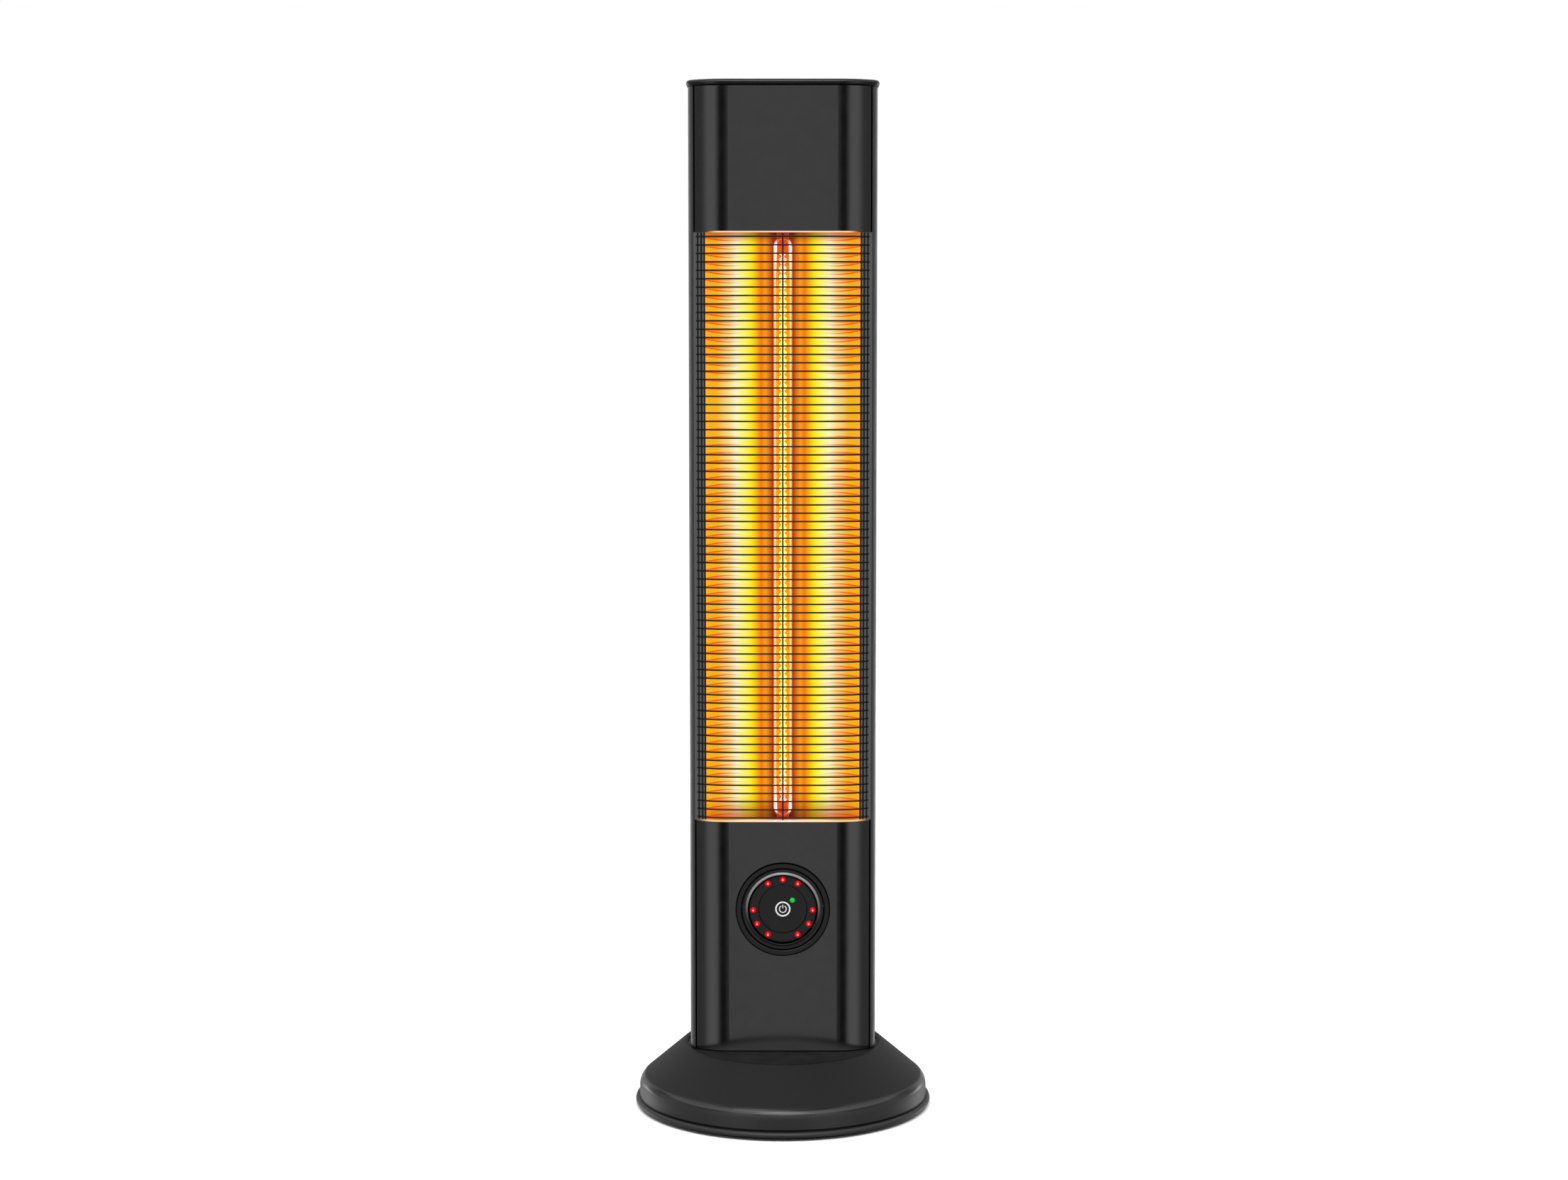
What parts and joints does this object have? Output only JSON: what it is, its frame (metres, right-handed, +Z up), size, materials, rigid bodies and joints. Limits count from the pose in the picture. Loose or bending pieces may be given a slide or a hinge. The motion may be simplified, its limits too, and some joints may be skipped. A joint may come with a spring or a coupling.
{
  "type": "infrared patio heater tower",
  "caption": "Upright infrared heater: slim black column with a quartz lamp and reflector behind a wire guard, push-button control, swivelling on a round weighted base.",
  "frame": {"origin": "on the floor under the centre of the round base, which is the swivel axis of the column", "axes": "+Z up, the flat front with the wire guard and the control faces -Y, +X to the right seen from the front"},
  "size_m": [0.23, 0.23, 0.79],
  "materials": {
    "base_plastic": "fine textured moulding",
    "black_sheet": "satin powder coat",
    "rear_sheet": "satin powder coat",
    "lid_plastic": "satin",
    "guard_wire": "black enamel",
    "mirror_aluminium": "polished",
    "quartz": "clear",
    "filament": "glowing carbon",
    "ceramic": "glazed",
    "zinc_steel": "zinc plated",
    "cast_weight": "as cast",
    "rubber": "matte",
    "acetal": "natural",
    "control_plastic": "satin",
    "red_lens": "lit",
    "green_lens": "lit",
    "circuit": "solder mask",
    "switch_plastic": "moulded",
    "wire_sleeve": "sleeved"
  },
  "bodies": {
    "base": {"base_shell": "base_plastic", "base_plate": "zinc_steel", "ballast_weights": "cast_weight", "base_screws": "zinc_steel", "rubber_feet": "rubber", "cord_gland": "rubber", "pivot_bush": "acetal", "slide_ring": "acetal", "swivel_motor": "zinc_steel", "motor_screws": "zinc_steel", "tip_switch": "switch_plastic", "terminal_block": "acetal", "base_wiring": "wire_sleeve", "tip_spring": "zinc_steel"},
    "pinion": {"drive_pinion": "acetal", "motor_shaft": "zinc_steel"},
    "plunger": {"tip_plunger": "acetal"},
    "column": {"turntable": "base_plastic", "sector_gear": "acetal", "retaining_ring": "zinc_steel", "rear_shell": "rear_sheet", "upper_cover": "black_sheet", "lower_cover": "black_sheet", "flange_screws": "zinc_steel", "rear_screws": "black_sheet", "top_cap": "lid_plastic", "chassis_rail": "zinc_steel", "reflector": "mirror_aluminium", "reflector_ends": "mirror_aluminium", "reflector_brackets": "zinc_steel", "bracket_screws": "zinc_steel", "guard_grille": "guard_wire", "quartz_tube": "quartz", "lamp_filament": "filament", "lamp_end_caps": "ceramic", "lamp_clips": "zinc_steel", "thermal_cutout": "ceramic", "power_board": "circuit", "board_standoffs": "zinc_steel", "control_board": "circuit", "control_bezel": "control_plastic", "control_face": "control_plastic", "bezel_nut": "switch_plastic", "board_screws": "zinc_steel", "red_indicators": "red_lens", "green_indicator": "green_lens", "column_wiring": "wire_sleeve", "button_spring": "zinc_steel"},
    "button": {"power_button": "control_plastic", "button_clip": "zinc_steel"}
  },
  "joints": [
    {"name": "column_swivel", "type": "hinge", "parent": "base", "child": "column", "pos_m": [0, 0, 0.03], "axis": [0, 0, 1], "range_deg": [-35, 35]},
    {"name": "pinion_spin", "type": "hinge", "parent": "base", "child": "pinion", "pos_m": [0, -0.05, 0.03], "axis": [0, 0, 1], "range_deg": [-140.5, 140.5]},
    {"name": "tip_plunger_slide", "type": "slide", "parent": "base", "child": "plunger", "axis": [0, 0, -1], "range_m": [0, 0.003], "stiffness_N_per_m": 60, "springref_m": 0.008, "deforming": ["tip_spring"]},
    {"name": "power_button_press", "type": "slide", "parent": "column", "child": "button", "axis": [0, 1, 0], "range_m": [0, 0.0012], "stiffness_N_per_m": 800, "springref_m": -0.0004, "deforming": ["button_spring"]}
  ],
  "couplings": [
    {"joint": "pinion_spin", "follows": "column_swivel", "ratio": -4}
  ]
}
